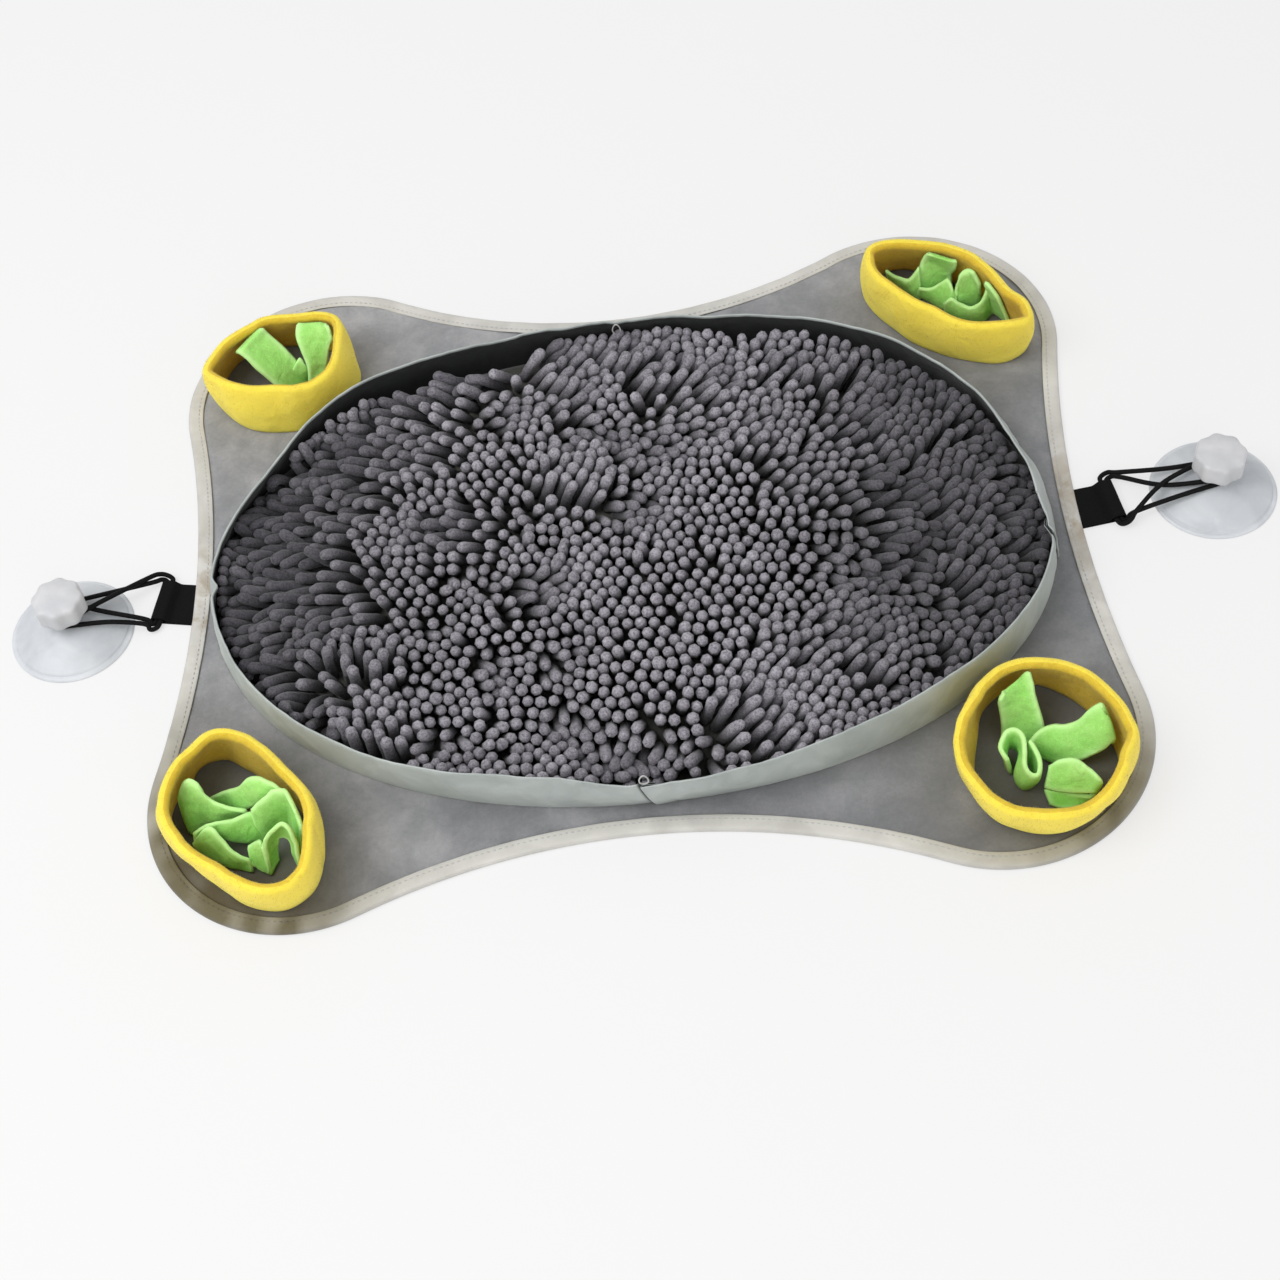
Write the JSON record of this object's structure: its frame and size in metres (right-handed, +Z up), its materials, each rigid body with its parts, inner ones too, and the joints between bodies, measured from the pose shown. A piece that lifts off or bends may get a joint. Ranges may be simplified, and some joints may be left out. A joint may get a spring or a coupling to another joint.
{
  "type": "snuffle mat",
  "caption": "Felt foraging mat for pets: an oval wall round a deep chenille pile, fleece rings with fleece strips in its corners, and a suction cup on elastic at each side.",
  "frame": {"origin": "on the underside of the felt mat, at the middle of its length and width", "axes": "+X along the mat's length to the right, +Y to the back, +Z up"},
  "size_m": [0.8136, 0.5107, 0.0522],
  "materials": {
    "felt": "mottled needle felt",
    "tape": "woven binding tape",
    "wall_cloth": "plain woven cloth",
    "thread": "sewing thread",
    "chenille": "deep chenille pile",
    "yellow_fleece": "soft brushed fleece",
    "green_fleece": "soft brushed fleece",
    "webbing": "woven webbing",
    "elastic": "braided elastic cord",
    "cup": "clear soft vinyl, slightly cloudy",
    "nut": "translucent moulded plastic"
  },
  "bodies": {
    "mat": {"base_panel": "felt", "chenille_pile": "chenille", "cup_left": "cup", "cup_right": "cup", "dart_loop_back": "thread", "dart_loop_front": "thread", "edge_binding": "tape", "elastic_left": "elastic", "elastic_right": "elastic", "fence_wall": "wall_cloth", "ring_back_left": "yellow_fleece", "ring_back_right": "yellow_fleece", "ring_front_left": "yellow_fleece", "ring_front_right": "yellow_fleece", "strip_back_left_1": "green_fleece", "strip_back_left_2": "green_fleece", "strip_back_left_3": "green_fleece", "strip_back_right_1": "green_fleece", "strip_back_right_2": "green_fleece", "strip_back_right_3": "green_fleece", "strip_back_right_4": "green_fleece", "strip_back_right_5": "green_fleece", "strip_front_left_1": "green_fleece", "strip_front_left_2": "green_fleece", "strip_front_left_3": "green_fleece", "strip_front_left_4": "green_fleece", "strip_front_left_5": "green_fleece", "strip_front_left_6": "green_fleece", "strip_front_left_7": "green_fleece", "strip_front_right_1": "green_fleece", "strip_front_right_2": "green_fleece", "strip_front_right_3": "green_fleece", "strip_front_right_4": "green_fleece", "tab_left": "webbing", "tab_right": "webbing"},
    "left_nut": {"nut_left": "nut"},
    "right_nut": {"nut_right": "nut"}
  },
  "joints": [
    {"name": "left_nut_turn", "type": "hinge", "parent": "mat", "child": "left_nut", "pos_m": [-0.3615, -0.0195, 0.03], "axis": [0, 0, 1], "range_deg": [0, 180]},
    {"name": "right_nut_turn", "type": "hinge", "parent": "mat", "child": "right_nut", "pos_m": [0.3725, 0.0065, 0.03], "axis": [0, 0, 1], "range_deg": [0, 180]}
  ]
}
